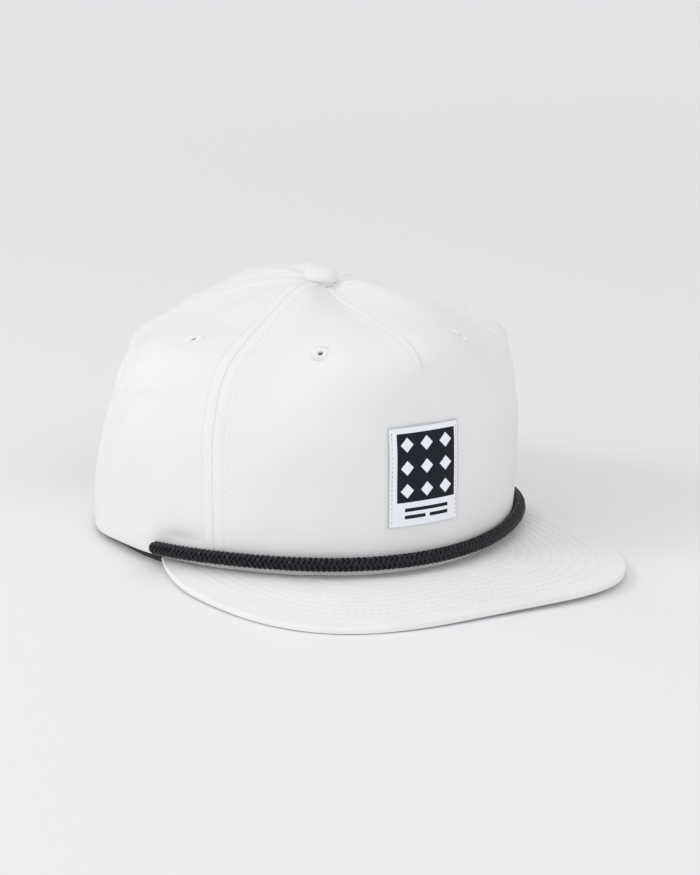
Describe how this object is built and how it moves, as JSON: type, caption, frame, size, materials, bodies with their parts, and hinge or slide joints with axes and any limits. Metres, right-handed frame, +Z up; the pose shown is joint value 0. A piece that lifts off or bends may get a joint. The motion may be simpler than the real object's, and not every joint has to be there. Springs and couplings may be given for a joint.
{
  "type": "snapback cap",
  "caption": "White flat-brimmed snapback cap with sewn crown panels, a braided black rope along the front, a woven front label and a plastic snap strap at the back.",
  "frame": {"origin": "on the surface that the cap rests on, below the middle of its outline seen from above", "axes": "+Z up, -Y towards the tip of the brim, +X towards the wearer's left"},
  "size_m": [0.1876, 0.265, 0.1179],
  "materials": {
    "crown_cloth": "white cotton twill",
    "brim_cloth": "white cotton twill over a stiff board, sewn in rows",
    "rope_braid": "black braided cord",
    "label_weave": "woven white label with a black field",
    "band_cloth": "dark grey cotton",
    "eyelet_thread": "cream embroidery thread",
    "strap_plastic": "satin moulded plastic"
  },
  "bodies": {
    "root": {"front_panel": "crown_cloth", "side_panel_right": "crown_cloth", "side_panel_left": "crown_cloth", "back_panel_right": "crown_cloth", "back_panel_left": "crown_cloth", "brim": "brim_cloth", "rope": "rope_braid", "label": "label_weave", "sweatband": "band_cloth", "button": "crown_cloth", "eyelet_front_right": "eyelet_thread", "eyelet_front_left": "eyelet_thread", "eyelet_side_right": "eyelet_thread", "eyelet_side_left": "eyelet_thread", "eyelet_back_right": "eyelet_thread", "eyelet_back_left": "eyelet_thread", "strap_holes": "strap_plastic", "strap_pegs": "strap_plastic"}
  },
  "joints": []
}
